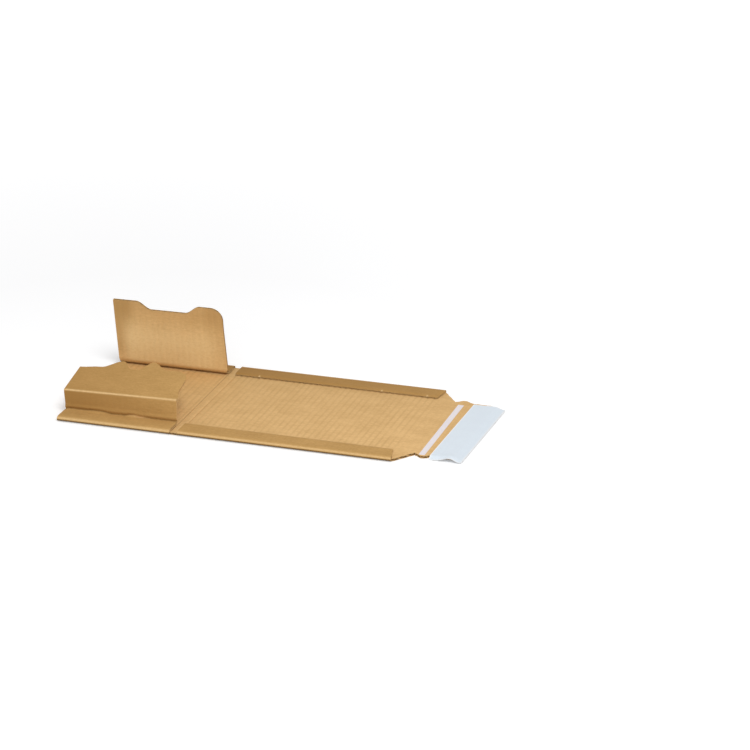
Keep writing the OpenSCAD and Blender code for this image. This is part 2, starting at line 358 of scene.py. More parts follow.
def foot_legs(lean):
    """Strip and rounded foot of a flap that leans in by some degrees from upright"""
    turn = 90 - lean
    trim = FOOT_ROUND * math.tan(math.radians(turn) / 2)
    return [(strip_len - trim, 0), (FOOT_ROUND * math.radians(turn), -turn)], trim


fold_legs = [(floor_w, 0), (fold_len, 180)]
wall_foot, wall_trim = foot_legs(0)
flap_foot, flap_trim = foot_legs(BACK_LEAN)
wall_leg = cover_z - fold_top - wall_trim
cover_turn = 90 - COVER_RISE

plain_run = Run(*fold_legs, (strip_len, 0))
front_run = Run(*fold_legs, *wall_foot, (wall_leg, 0),
                (board / 2 * math.radians(cover_turn), cover_turn), (COVER_REACH, 0))
back_run = Run(*fold_legs, *flap_foot, (EAR + SEAM, 0))

t_fold = plain_run.start_of(1)
t_strip = plain_run.start_of(2)
t_strip_end = t_strip + strip_len
t_wall_foot = front_run.start_of(3) + FOOT_ROUND * math.radians(45)
t_wall = front_run.start_of(4)
t_cover_bend = front_run.start_of(5)
t_cover = front_run.start_of(6)
t_cover_crease = (t_cover_bend + t_cover) / 2
t_flap_foot = (back_run.start_of(3) + back_run.start_of(4)) / 2
t_flap = back_run.start_of(4)

# Where one piece of board ends and the next begins, along the sheet
t_base_end = t_strip_end - wall_trim - SEAM
t_back_base_end = t_strip_end - flap_trim - SEAM
t_wall_start = t_wall + WALL_SEAM
t_wall_end = t_cover_bend - SEAM
t_cover_start = t_cover + SEAM
t_flap_start = t_flap + SEAM


def squeeze(s, t, run):
    """Local thickness of the board as a share of the full one: creases and folds are crushed"""
    a = np.abs(t)
    share = 1 - FOLD_THINNING * smooth((a - t_fold) / FOLD_THINNING_RUN)
    if run is front_run:
        share = share * (1 - CRUSH * bump(a, t_wall_foot, CRUSH_W))
        share = share * (1 - COVER_CRUSH * bump(a, t_cover_crease, CRUSH_W))
    if run is back_run:
        share = share * (1 - CRUSH * bump(a, t_flap_foot, CRUSH_W))
    for x in (base_x1, wrap_x0):
        share = share * (1 - SPINE_CRUSH * bump(s, x, SPINE_CRUSH_W) * (a < floor_w))
    return share


def along_wrap(s):
    """0 up to the wrap panel's left end, and 1 from its taper on"""
    return np.clip((s - wrap_x0) / WRAP_LENGTH, 0, 1)


def relief(t):
    """How far the wrap panel's strips are cut back at their right ends"""
    depth = np.where(t < 0, FRONT_RELIEF, BACK_RELIEF)
    return depth * smooth((np.abs(t) - t_strip + RELIEF_START) / (strip_len + RELIEF_START))


def pressed_down(s, t):
    """How far a strip of the wrap panel is pressed down at its cut edges, from 0 to 1"""
    a = np.abs(t)
    inner = EDGE_CRUSH * np.where(t < 0, between(along_wrap(s), FRONT_EDGE_SHARES), 1)
    inner = inner * bump(a, t_strip_end, EDGE_CRUSH_W)
    end = END_CRUSH * bump(s, taper_x0 - relief(t), END_CRUSH_W) * smooth((a - t_strip) / END_CRUSH_START)
    return np.maximum(inner, end)


def crumple(s):
    """How far up the wall the front flap's foot has folded, left to right"""
    uneven = CRUMPLE_UNEVEN * ripple(s, 0, CRUMPLE_UNEVEN_SIZE, seed=3)
    return swells(s, CRUMPLE_LEFT) + swells(s, CRUMPLE_MIDDLE) + uneven


def up_wall(a):
    """0 at the front flap's foot, 1 at the cover's crease"""
    return smooth((a - t_wall_foot) / (t_cover_crease - t_wall_foot))


def place(run, s, t, w):
    """Point of the folded sheet: s along the mailer, t across the sheet, w from its outer face"""
    side = np.where(t < 0, -1, 1)
    a = np.abs(t)
    y, z, heading = run.at(a)
    w = w * squeeze(s, t, run)
    y = y - w * np.sin(heading)
    z = z + w * np.cos(heading)
    press = np.where(t < 0, FOLD_PRESS, BACK_FOLD_PRESS)
    z = board + (z - board) * (1 - press * smooth((y - half_w) / FOLD_PRESS_W + 1))
    if run is plain_run:
        z = np.where(a > t_strip, board + (z - board) * (1 - pressed_down(s, t)), z)
    if run is front_run:
        rise = crumple(s)
        before = a - t_wall_foot
        height = np.maximum(before, 0)
        z = z + rise * np.where(before < 0, np.clip(1 + before / CRUMPLE_ON_STRIP, 0, 1),
                                np.clip(1 - height / CRUMPLE_ON_WALL, 0, 1))
        y = y + FOOT_BULGE * bump(before, FOOT_BULGE_AT, FOOT_BULGE_W)
        y = y - FOOT_PINCH * bump(before, FOOT_PINCH_AT, FOOT_PINCH_W)
        z = z + WALL_SKEW * (s / flap_x1 - WALL_SKEW_CENTRE) * up_wall(a)
    if run is back_run:
        y, z = twisted(s, a, y, z)
    return np.stack([s + spread(run, s, a), side * y, z], -1)


def spread(run, s, a):
    """How far a flap's end has spread past its cut line: the front one's left end at the cover's
    crease, the back one's right end at its foot"""
    if run is front_run:
        rise = between(up_wall(a), (WALL_SPREAD_LOW, 1))
        far = 1 - WALL_SPREAD_FADE * np.clip((a - t_cover_crease) / COVER_LEFT, 0, 1)
        near = smooth((a - t_base_end) / SEAM)
        return -WALL_SPREAD * rise * far * near * np.clip(-s / flap_x1, 0, 1) ** 2
    if run is back_run:
        height = np.clip((a - t_flap_foot) / FLAP_SPREAD_HEIGHT, 0, 1)
        near = smooth((a - t_flap_foot) / SEAM)
        return FLAP_SPREAD * near * (1 - height) * np.clip(s / flap_x1, 0, 1) ** 2
    return 0 * s


def twisted(s, a, y, z):
    """The back flap leans in a little more at its left side than at its right"""
    turn = np.radians(BACK_TWIST) * s / flap_x0 * smooth((a - t_flap_foot) / SEAM)
    dy, dz = y - crease_y, z - fold_top
    return (crease_y + dy * np.cos(turn) - dz * np.sin(turn),
            fold_top + dy * np.sin(turn) + dz * np.cos(turn))


def flute_phase(s):
    """0 where the fluted paper meets the outer facing, 1 where it meets the inner one"""
    return 0.5 - 0.5 * np.cos(2 * math.pi * s / PITCH)


def away_from_creases(t, run):
    """1 on the flat of the board and near 0 at its folds and creases, where ridges are pressed out"""
    a = np.abs(t)
    share = 1 - FOLD_FLATTENED * bump(a, (t_fold + t_strip) / 2, FOLD_FLATTENED_W)
    creases = []
    if run is front_run:
        creases = [t_wall_foot, t_cover_crease]
    if run is back_run:
        creases = [t_flap_foot]
    for crease in creases:
        share = share * (1 - CREASE_FLATTENED * bump(a, crease, CREASE_FLATTENED_W))
    return share


def plies(run, s, t):
    """Heights of each ply's two faces over the outer face"""
    flat = away_from_creases(t, run)
    uneven = 1 + RIDGE_UNEVEN * ripple(s, t, RIDGE_UNEVEN_SIZE, seed=11)
    inside = -RIDGE_INSIDE * flat * uneven * (1 - flute_phase(s)) ** VALLEY_POWER
    outside = RIDGE_OUTSIDE * flat * uneven * flute_phase(s)
    wave = np.clip(FLUTE_FLATS * (flute_phase(s) - 0.5) + 0.5, 0, 1)
    room = board - 2 * FACING - MEDIUM
    middle = FACING + room * wave
    return {
        "outer": (outside, np.full_like(t, FACING)),
        "fluting": (middle, middle + MEDIUM),
        "inner": (np.full_like(t, board - FACING), board + inside),
    }


# Meshes

def grid_quads(height, width, start, flip):
    """Faces of a grid of points that are numbered row by row from start"""
    corner = start + np.arange(height - 1)[:, None] * width + np.arange(width - 1)[None, :]
    quads = np.stack([corner, corner + 1, corner + width + 1, corner + width], -1).reshape(-1, 4)
    return quads[:, ::-1] if flip else quads


def shell(low, high):
    """Points and faces of a closed thin sheet between two grids, and which faces are its rim"""
    height, width = low.shape[:2]
    count = height * width
    points = np.concatenate([low.reshape(-1, 3), high.reshape(-1, 3)])
    index = np.arange(count).reshape(height, width)
    loop = np.concatenate([index[0, :], index[1:, -1], index[-1, -2::-1], index[-2:0:-1, 0]])
    following = np.roll(loop, -1)
    rim = np.stack([loop, following, following + count, loop + count], -1)
    under = grid_quads(height, width, 0, True)
    over = grid_quads(height, width, count, False)
    faces = np.concatenate([under, over, rim])
    is_rim = np.zeros(len(faces), bool)
    is_rim[-len(rim):] = True
    return points, faces, is_rim


def build(name, shells, materials, coordinates):
    """A mesh object of closed shells, with the sheet's own coordinates kept on its points"""
    points, faces, rims, start = [], [], [], 0
    for low, high in shells:
        p, f, r = shell(low, high)
        points.append(p)
        faces.append(f + start)
        rims.append(r)
        start += len(p)
    mesh = bpy.data.meshes.new(name)
    mesh.from_pydata(np.concatenate(points) * MM, [], np.concatenate(faces))
    for material in materials:
        mesh.materials.append(material)
    mesh.polygons.foreach_set("material_index", np.concatenate(rims).astype(np.int32))
    mesh.shade_smooth()
    mesh.set_sharp_from_angle(angle=math.radians(SHARP_ANGLE))
    for key, values in coordinates.items():
        values = np.concatenate([np.asarray(v, np.float32).reshape(len(p), -1)
                                 for v, p in zip(values, points)])
        vector = values.shape[1] == 3
        layer = mesh.attributes.new(key, "FLOAT_VECTOR" if vector else "FLOAT", "POINT")
        layer.data.foreach_set("vector" if vector else "value", values.ravel())
    mesh.validate()
    obj = bpy.data.objects.new(name, mesh)
    bpy.context.scene.collection.objects.link(obj)
    return obj


def wear_and_painted_light(run, s, t, ply):
    """How pale the facing is, from 0 to 1: stretched and scuffed at its folds and creases, with a painted
    highlight on them, torn at the bridges, and painted light low down on the back flap's inner side"""
    a = np.abs(t)
    if ply != "outer" and run is back_run:
        # Painted light: the back flap's inner side is paler low down, less so at its left and right edges
        height = (a - t_flap_foot) / EAR
        left = smooth((s - flap_x0 - FLAP_PALE_LEFT_IN) / FLAP_PALE_LEFT_RUN)
        right = between(smooth((flap_x1 - s) / FLAP_PALE_RIGHT_RUN), (FLAP_PALE_RIGHT, 1))
        start = smooth((a - t_flap_foot) / FLAP_PALE_START)
        return FLAP_PAINTED_LIGHT * start * (1 - smooth((height - FLAP_PALE_TOP) / FLAP_PALE_FADE)) * left * right
    if ply != "outer":
        # Painted highlight along the wrap panel's crease at the spine, towards the long edges
        line = SPINE_HIGHLIGHT * bump(s, wrap_x0 - SPINE_HIGHLIGHT_IN, SPINE_HIGHLIGHT_W)
        return line * smooth((a - SPINE_HIGHLIGHT_Y) / SPINE_HIGHLIGHT_RUN) * (a < half_w)
    # Pale band on the upper shoulder of the long folds: stretched paper, with a painted highlight where the
    # fold turns towards the light
    middle = t_strip - np.where(t < 0, FRONT_HIGHLIGHT_IN, BACK_HIGHLIGHT_IN)
    width = np.where(t < 0, np.where(s < spine_x, BASE_HIGHLIGHT_W, WRAP_HIGHLIGHT_W), BACK_HIGHLIGHT_W)
    strength = FOLD_SCUFF_AND_HIGHLIGHT * np.where(t < 0, 1, smooth((BACK_HIGHLIGHT_END - s) / BACK_HIGHLIGHT_FADE))
    pale = strength * bump(a, middle, width)
    if run is front_run:
        # Painted highlight on the cover's crease, on top of its stretched paper
        pale = pale + bump(a, t_cover_crease, COVER_HIGHLIGHT_W)
        # Painted light in the front flap's foot crease where it lies open
        pale = pale + OPEN_CREASE_LIGHT * open_crease(s) * bump(a, t_wall_foot, OPEN_CREASE_LIGHT_W)
    if run is plain_run:
        torn = sum(bump(s, x, NICK_SCUFF_W) for x in NICKS) * (t > t_strip_end - NICK_SCUFF_REACH)
        pale = pale + torn
    return np.clip(pale, 0, 1)


def open_crease(s):
    """1 where the front flap's crease is open and soft, 0 along the rest of it"""
    return bump(s, OPEN_CREASE_X, OPEN_CREASE_W)


def painted_shadow(run, s, t, ply):
    """How dark the facing is, from 0 to 1: painted shade in the valleys of creases, and a painted shadow on
    the outer facing along the lower half of the long folds, as in the shadow of a narrow gap"""
    a = np.abs(t)
    # Painted shadow on the lower half of the long folds
    under = UNDER_DARK * smooth((a - t_fold + UNDER_START) / UNDER_START_RUN)
    under = under * smooth((t_fold + UNDER_END - a) / UNDER_END_RUN) * (ply == "outer")
    if run is front_run:
        # Painted shade in the valley of the front flap's foot crease, left out where the crease lies open
        return under + WALL_FOOT_DARK * bump(a, t_wall_foot, WALL_FOOT_DARK_W) * (1 - open_crease(s))
    if run is back_run:
        return under + FLAP_FOOT_DARK * bump(a, t_flap_foot, FLAP_FOOT_DARK_W)
    return under + SPINE_DARK * bump(s, base_x1, SPINE_DARK_W) * (a < floor_w)


def painted_shade(run, s, t, ply):
    """How much painted shade the facing has, from 0 to 1: darker for the parts that lie in less light"""
    a = np.abs(t)
    along = along_wrap(s)
    if ply == "outer":
        # Painted shade on the strips, wall and cover, darker towards the left
        right = 0.5 + 0.5 * np.clip(s / flap_x1, -1, 1)
        front = between(np.where(s < spine_x, right, along), FRONT_STRIP_TONE)
        dark = np.where(t > 0, between(along, BACK_STRIP_TONE), front) * smooth((a - t_fold) / fold_len)
        line = BACK_LINE_TONE * (1 - along) * bump(a, t_strip + BACK_LINE_IN, BACK_LINE_W)
        dark = dark + (t > 0) * line
        if run is front_run:
            wall = smooth((a - t_wall_foot) / TONE_EDGE) * smooth((t_cover_crease - a) / TONE_EDGE)
            cover = smooth((a - t_cover_crease) / TONE_EDGE)
            dark = dark + wall * between(right, WALL_TONE) + cover * between(right, COVER_TONE)
        return np.clip(dark, 0, 1)
    if run is back_run:
        # Painted shade on the back flap's inner side, darker near its top and its sides
        height = np.clip((a - t_flap_foot) / EAR, 0, 1)
        top = smooth((height - FLAP_TOP_FROM) / (1 - FLAP_TOP_FROM))
        left = smooth((flap_x0 + FLAP_LEFT_W + FLAP_LEFT_SLANT * height - s) / FLAP_LEFT_FADE)
        right = smooth((s - flap_x1 + FLAP_RIGHT_W) / FLAP_RIGHT_FADE)
        sides = (FLAP_LEFT_TONE * left + FLAP_RIGHT_TONE * right) * smooth(height * FLAP_SIDES_RISE)
        return np.clip(FLAP_TOP_TONE * top + sides, 0, 1)
    # Painted shade on the floor panels, darker towards the wrap's left end and towards the back
    middle = MIDDLE_TONE * smooth((t - MIDDLE_TONE_Y) / MIDDLE_TONE_RUN)
    rear = REAR_TONE * smooth((t - REAR_TONE_Y) / REAR_TONE_RUN)
    return between(along, PANEL_TONE) + middle + rear


def ridged(run, s, t, _ply):
    """How clearly the flutes show through the facing as darker lines, from 0 to 1: glue lines, with painted
    shade along the flute valleys
    """
    most = 1.0 if run is plain_run else SHOW_ELSEWHERE
    uneven = SHOW_RIDGES_UNEVEN * ripple(s, t, SHOW_RIDGES_SIZE, seed=41)
    return most * np.clip(SHOW_RIDGES + uneven, 0, 1)


MARKS = {"wear_and_painted_light": wear_and_painted_light, "painted_shadow": painted_shadow, "painted_shade": painted_shade, "ridged": ridged}


# A length of board is two pieces: each has a name, its plies and its material
BOARD_PARTS = (("outer", ["outer"], "kraft_outside"), ("inner", ["inner", "fluting"], "kraft_inside"))


def board_piece(name, run, s, t):
    """One length of board as two pieces: its outer facing, and its inner facing with the fluting"""
    heights = plies(run, s, t)
    made = []
    for part, ply_names, slot in BOARD_PARTS:
        shells, sheet, marks = [], [], {key: [] for key in MARKS}
        for ply in ply_names:
            low, high = (place(run, s, t, h) for h in heights[ply])
            shells.append((low, high))
            faces = [np.stack([s, t, h], -1).reshape(-1, 3) for h in heights[ply]]
            sheet.append(np.concatenate(faces))
            for key, rule in MARKS.items():
                values = rule(run, s, t, ply).ravel()
                marks[key].append(np.concatenate([values, values]))
        obj = build(f"{name}_{part}", shells, [FINISH[slot], RAW_EDGE], {"sheet": sheet, **marks})
        made.append(obj)
    return made


def columns(x0, x1, extra=()):
    """Places along the mailer: even steps on each flute, some extra places, and the ends"""
    step = PITCH / STEPS_PER_FLUTE
    margin = 0.2 * step
    inside = np.arange(math.ceil(x0 / step), math.floor(x1 / step) + 1) * step
    inside = inside[(inside > x0 + margin) & (inside < x1 - margin)]
    return np.unique(np.round(np.concatenate([[x0], inside, extra, [x1]]), 4))


def rows(*stretches):
    """Places across the sheet: (start, end, count) stretches that follow each other"""
    parts = [np.linspace(a, b, n + 1)[1:] for a, b, n in stretches]
    return np.concatenate([[stretches[0][0]], *parts])


def sheet_grid(s_line, t_line):
    s, t = np.meshgrid(s_line, t_line)
    return s.astype(float), t.astype(float)


def swells(x, points):
    """Height over x of a line of half-cosine swells through some points"""
    result = np.full_like(x, points[0][1], dtype=float)
    for (xa, ya), (xb, yb) in zip(points, points[1:]):
        share = np.clip((x - xa) / (xb - xa), 0, 1)
        result = result + (yb - ya) * (0.5 - 0.5 * np.cos(math.pi * share))
    return result


def rounded_end(x, height, x_end, radius):
    """The height over x, brought down round a corner at x_end"""
    d = np.clip(x - (x_end - radius), 0, radius)
    return height - radius + np.sqrt(radius ** 2 - d ** 2)


# Materials

def shader(name):
    material = bpy.data.materials.new(name)
    material.use_nodes = True
    tree = material.node_tree
    tree.nodes.clear()
    output = tree.nodes.new("ShaderNodeOutputMaterial")
    surface = tree.nodes.new("ShaderNodeBsdfPrincipled")
    tree.links.new(surface.outputs[0], output.inputs[0])
    return material, tree, surface


class Nodes:
    """Short calls for the nodes that the finishes share"""

    def __init__(self, tree):
        self.tree = tree

    def add(self, kind, inputs=(), **settings):
        node = self.tree.nodes.new(kind)
        for key, value in settings.items():
            setattr(node, key, value)
        for socket, value in dict(inputs).items():
            if isinstance(value, bpy.types.NodeSocket):
                self.tree.links.new(value, node.inputs[socket])
            else:
                node.inputs[socket].default_value = value
        return node

    def attribute(self, name):
        return self.add("ShaderNodeAttribute", attribute_name=name)

    def scaled(self, vector, scale):
        return self.add("ShaderNodeVectorMath", {0: vector, 1: scale}, operation="MULTIPLY").outputs[0]

    def noise(self, vector, scale, detail=3, rough=0.55):
        return self.add("ShaderNodeTexNoise", {"Vector": self.scaled(vector, scale), "Scale": 1.0,
                                               "Detail": detail, "Roughness": rough}).outputs[0]

    def ramp(self, value, low, high, to_low=0.0, to_high=1.0):
        return self.add("ShaderNodeMapRange", {0: value, 1: low, 2: high, 3: to_low, 4: to_high}).outputs[0]

    def math(self, operation, a, b=0.0):
        return self.add("ShaderNodeMath", {0: a, 1: b}, operation=operation).outputs[0]

    def mix(self, factor, a, b):
        return self.add("ShaderNodeMix", {0: factor, 6: a, 7: b}, data_type="RGBA").outputs[2]


def kraft(name, light, dark, shade, worn_and_lit, stripe):
    """Kraft facing: long fibres and streaks along the mailer, cloudy formation, specks, the
    print-through of the flutes as darker lines that are partly painted shade, painted shade for the
    parts in less light, painted shade in creases, a painted shadow under the folds, and scuffed folds
    with a painted highlight"""
    material, tree, surface = shader(name)
    n = Nodes(tree)
    sheet = n.attribute("sheet").outputs["Vector"]
    clouds = n.noise(sheet, CLOUDS, detail=4)
    formation = n.noise(sheet, FORMATION, detail=4, rough=0.6)
    fibres = n.noise(sheet, FIBRES, detail=3, rough=0.6)
    streaks = n.noise(sheet, STREAKS, detail=3, rough=0.6)
    grade = n.math("ADD", n.math("MULTIPLY", clouds, CLOUD_SHARE),
                   n.math("MULTIPLY", formation, FORMATION_SHARE))
    grade = n.math("ADD", grade, n.math("MULTIPLY", streaks, STREAK_SHARE))
    grade = n.ramp(grade, *GRADE_RANGE)
    colour = n.mix(grade, (*dark, 1), (*light, 1))
    # Painted shade: mixes towards the shade colour where parts lie in less light
    colour = n.mix(n.attribute("painted_shade").outputs["Fac"], colour, (*shade, 1))
    # Darker lines along the flute valleys: partly glue lines, partly painted shade of the washboard
    along = n.add("ShaderNodeSeparateXYZ", {0: sheet}).outputs[0]
    flute = n.math("COSINE", n.math("MULTIPLY", along, 2 * math.pi / PITCH))
    stripes = n.ramp(flute, *STRIPE_RANGE, 0.0, stripe)
    valley = n.math("MULTIPLY", stripes, n.attribute("ridged").outputs["Fac"])
    colour = n.mix(valley, colour, (*shade, 1))
    specks = n.ramp(n.noise(sheet, SPECKS, detail=2, rough=0.4), *SPECK_RANGE)
    colour = n.mix(n.math("MULTIPLY", specks, SPECK_SHARE), colour, (*[c * SPECK_SHADE for c in dark], 1))
    elsewhere = n.scaled(sheet, (-1.0, -1.0, 1.0))
    pale = n.ramp(n.noise(elsewhere, PALE_FIBRES, detail=2, rough=0.4), *PALE_RANGE)
    pale_colour = (*[min(1, c * PALE_SHADE) for c in light], 1)
    colour = n.mix(n.math("MULTIPLY", pale, PALE_SHARE), colour, pale_colour)
    # Pale marks: real scuffs, stretched paper and torn bridges, together with painted highlights on folds
    # and creases and painted light on the back flap
    scuff_and_highlight = n.math("MULTIPLY", n.attribute("wear_and_painted_light").outputs["Fac"], n.ramp(formation, *SCUFF_AND_HIGHLIGHT_GRAIN))
    colour = n.mix(scuff_and_highlight, colour, (*worn_and_lit, 1))
    # Painted shadow under the folds and painted shade in the crease valleys
    valley_colour = (*[c * VALLEY_SHADE for c in shade], 1)
    colour = n.mix(n.attribute("painted_shadow").outputs["Fac"], colour, valley_colour)
    tree.links.new(colour, surface.inputs["Base Color"])
    tree.links.new(n.ramp(fibres, *KRAFT_ROUGHNESS), surface.inputs["Roughness"])
    surface.inputs["Specular IOR Level"].default_value = BOARD_SPECULAR
    grain = n.math("ADD", n.math("MULTIPLY", fibres, FIBRE_HEIGHT),
                   n.math("MULTIPLY", formation, FORMATION_HEIGHT))
    bumped = n.add("ShaderNodeBump", {"Height": grain, "Strength": KRAFT_RELIEF, "Distance": KRAFT_GRAIN})
    tree.links.new(bumped.outputs[0], surface.inputs["Normal"])
    return material


def raw_edge():
    """Die-cut edge of the papers: fuzzy and a little darker"""
    material, tree, surface = shader("raw_edge")
    n = Nodes(tree)
    sheet = n.attribute("sheet").outputs["Vector"]
    fuzz = n.noise(sheet, EDGE_FUZZ, detail=4, rough=0.65)
    colour = n.mix(n.ramp(fuzz, *FUZZ_RANGE), (*RAW_DARK, 1), (*RAW_LIGHT, 1))
    tree.links.new(colour, surface.inputs["Base Color"])
    surface.inputs["Roughness"].default_value = EDGE_ROUGHNESS
    surface.inputs["Specular IOR Level"].default_value = BOARD_SPECULAR
    bumped = n.add("ShaderNodeBump", {"Height": fuzz, "Strength": EDGE_RELIEF, "Distance": EDGE_GRAIN})
    tree.links.new(bumped.outputs[0], surface.inputs["Normal"])
    return material


def film(name, colour, shade, roughness, specular, grain):
    """Smooth tape, glue or coated paper, with faint clouds and a whiter cut rim"""
    material, tree, surface = shader(name)
    n = Nodes(tree)
    sheet = n.attribute("sheet").outputs["Vector"]
    clouds = n.noise(sheet, FILM_CLOUDS, detail=4)
    fine = n.noise(sheet, FILM_GRAIN, detail=3)
    mottle = n.math("ADD", n.math("MULTIPLY", clouds, FILM_CLOUD_SHARE),
                    n.math("MULTIPLY", fine, FILM_GRAIN_SHARE))
    mottled = n.mix(n.ramp(mottle, *MOTTLE_RANGE), (*shade, 1), (*colour, 1))
    # On films and paper this attribute holds only the whiter cut rim
    with_rim = n.mix(n.attribute("wear_and_painted_light").outputs["Fac"], mottled, (*RIM_COLOUR, 1))
    tree.links.new(with_rim, surface.inputs["Base Color"])
    smoother, rougher = roughness - FILM_ROUGHNESS_SPAN, roughness + FILM_ROUGHNESS_SPAN
    tree.links.new(n.ramp(clouds, *MOTTLE_RANGE, smoother, rougher), surface.inputs["Roughness"])
    surface.inputs["Specular IOR Level"].default_value = specular
    bumped = n.add("ShaderNodeBump", {"Height": fine, "Strength": FILM_RELIEF, "Distance": grain})
    tree.links.new(bumped.outputs[0], surface.inputs["Normal"])
    return material


# The worn colour also draws the painted highlights and painted light; the shade colour draws the painted
# shade and painted shadow
FINISH = {
    "kraft_inside": kraft("kraft_inside", light=(0.745, 0.478, 0.212), dark=(0.60, 0.372, 0.152),
                          shade=(0.45, 0.265, 0.095), worn_and_lit=(0.78, 0.565, 0.28), stripe=0.34),
    "kraft_outside": kraft("kraft_outside", light=(0.54, 0.32, 0.114), dark=(0.42, 0.243, 0.079),
                           shade=(0.32, 0.165, 0.043), worn_and_lit=(0.68, 0.46, 0.22), stripe=0.08),
    "tear_tape": film("tear_tape", colour=(0.745, 0.692, 0.71), shade=(0.70, 0.646, 0.664),
                      roughness=0.38, specular=0.45, grain=0.00004),
    "adhesive": film("adhesive", colour=(0.75, 0.68, 0.48), shade=(0.66, 0.58, 0.38),
                     roughness=0.30, specular=0.5, grain=0.0001),
    "release_paper": film("release_paper", colour=(0.66, 0.727, 0.786), shade=(0.625, 0.69, 0.758),
                          roughness=0.42, specular=0.4, grain=0.00003),
}
RAW_EDGE = raw_edge()


# The board

def base_board():
    t_line = rows((-t_base_end, -t_strip, STRIP_ROWS), (-t_strip, -t_fold, FOLD_ROWS),
                  (-t_fold, t_fold, FLOOR_ROWS), (t_fold, t_strip, FOLD_ROWS),
                  (t_strip, t_back_base_end, STRIP_ROWS))
    s, t = sheet_grid(columns(base_x0, base_x1), t_line)
    for piece in board_piece("base", plain_run, s, t):
        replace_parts(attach(piece, "base"), "base_panel")


def narrowed(s, t, t_a, t_b):
    """Columns drawn in from the strip's length to the flap's between two places on the sheet"""
    share = smooth((np.abs(t) - t_a) / (t_b - t_a))
    return s * (1 - share * (1 - flap_x1 / base_x1))


def waist(s, t):
    """The cover's right edge steps in beside its crease"""
    share = smooth((np.abs(t) - t_cover - COVER_WAIST_START) / COVER_WAIST_RUN)
    reach = (flap_x1 - flap_x0 - COVER_WAIST * share) / (flap_x1 - flap_x0)
    return flap_x0 + (s - flap_x0) * reach


def cover_limit(x):
    """Length of the cover over x"""
    points = [(flap_x0, COVER_LEFT), (COVER_STEP_X, COVER_STEP), (COVER_HUMP_A_X, COVER_HUMP_A),
              (COVER_DIP_A_X, COVER_DIP), (COVER_DIP_B_X, COVER_DIP), (COVER_HUMP_B_X, COVER_HUMP_B),
              (COVER_RIGHT_X, COVER_RIGHT)]
    return rounded_end(x, swells(x, points), flap_x1 - COVER_WAIST, COVER_CORNER)


def back_limit(x):
    """Length of the back flap over x"""
    points = [(-EAR_X, EAR), (-RECESS_X, RECESS), (RECESS_X, RECESS), (EAR_X, EAR)]
    return rounded_end(x, swells(x, points), flap_x1, EAR_CORNER)


def corner_columns(x_end, radius, count=14):
    """Closer columns round a corner, each standing for an equal turn"""
    return x_end - radius + radius * np.sin(np.linspace(0, math.pi / 2, count + 1))[1:-1]


def to_edge(t_start, limit, count):
    """Rows from a seam to a cut edge: even ones, then closer ones beside the edge"""
    near = np.array(ROWS_BY_EDGE)
    inner = np.linspace(0, 1, count + 1)[:, None] * (limit - near[0] - t_start)[None, :] + t_start
    return np.concatenate([inner, limit[None, :] - near[1:, None]])


def front_flap():
    scale = flap_x1 / base_x1
    corner = corner_columns(flap_x1 - COVER_WAIST, COVER_CORNER)
    corner = flap_x0 + (corner - flap_x0) * (flap_x1 - flap_x0) / (flap_x1 - flap_x0 - COVER_WAIST)
    line = columns(base_x0, base_x1, corner / scale)
    before, after = t_wall_foot - CREASE_HALF, t_wall_foot + CREASE_HALF
    t_line = rows((t_base_end, before, STRIP_ROWS), (before, after, CREASE_ROWS),
                  (after, t_wall_start, 10))
    s, t = sheet_grid(line, -t_line[::-1])
    foot = board_piece("front_foot", front_run, narrowed(s, t, t_base_end, before), t)
    for piece in foot:
        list(blend_line(-1, front_run, t_base_end, t_wall_start))
        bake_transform(piece)

    s, t = sheet_grid(line * scale, -rows((t_wall_start, t_wall_end, 6))[::-1])
    for piece in board_piece("front_wall", front_run, s, t):
        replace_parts(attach(piece, "front_wall"), "front_wall")

    before, after = t_cover_bend - COVER_CREASE_MARGIN, t_cover + COVER_CREASE_MARGIN
    t_line = rows((t_wall_end, before, 5), (before, after, 12), (after, t_cover_start, 5))
    s, t = sheet_grid(line * scale, -t_line[::-1])
    for piece in board_piece("cover_crease", front_run, waist(s, t), t):
        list(blend_line(-1, front_run, t_wall_end, t_cover_start))
        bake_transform(piece)

    x = flap_x0 + (line * scale - flap_x0) * (1 - COVER_WAIST / (flap_x1 - flap_x0))
    limit = t_cover + cover_limit(x)
    t = -to_edge(t_cover_start, limit, 12)[::-1]
    s = np.broadcast_to(line * scale, t.shape)
    for piece in board_piece("front_cover", front_run, waist(s, t), t):
        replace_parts(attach(piece, "front_cover"), "front_cover")


def back_flap():
    scale = flap_x1 / base_x1
    line = columns(base_x0, base_x1, corner_columns(flap_x1, EAR_CORNER) / scale)
    before, after = t_flap_foot - CREASE_HALF, t_flap_foot + CREASE_HALF
    t_line = rows((t_back_base_end, before, STRIP_ROWS), (before, after, CREASE_ROWS),
                  (after, t_flap_start, 6))
    s, t = sheet_grid(line, t_line)
    foot = board_piece("back_foot", back_run, narrowed(s, t, t_back_base_end, before), t)
    for piece in foot:
        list(blend_line(1, back_run, t_back_base_end, t_flap_start))
        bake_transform(piece)
    limit = t_flap + back_limit(line * scale)
    t = to_edge(t_flap_start, limit, 14)
    s = np.broadcast_to(line * scale, t.shape)
    for piece in board_piece("back_flap", back_run, s, t):
        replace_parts(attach(piece, "back_flap"), "back_flap")


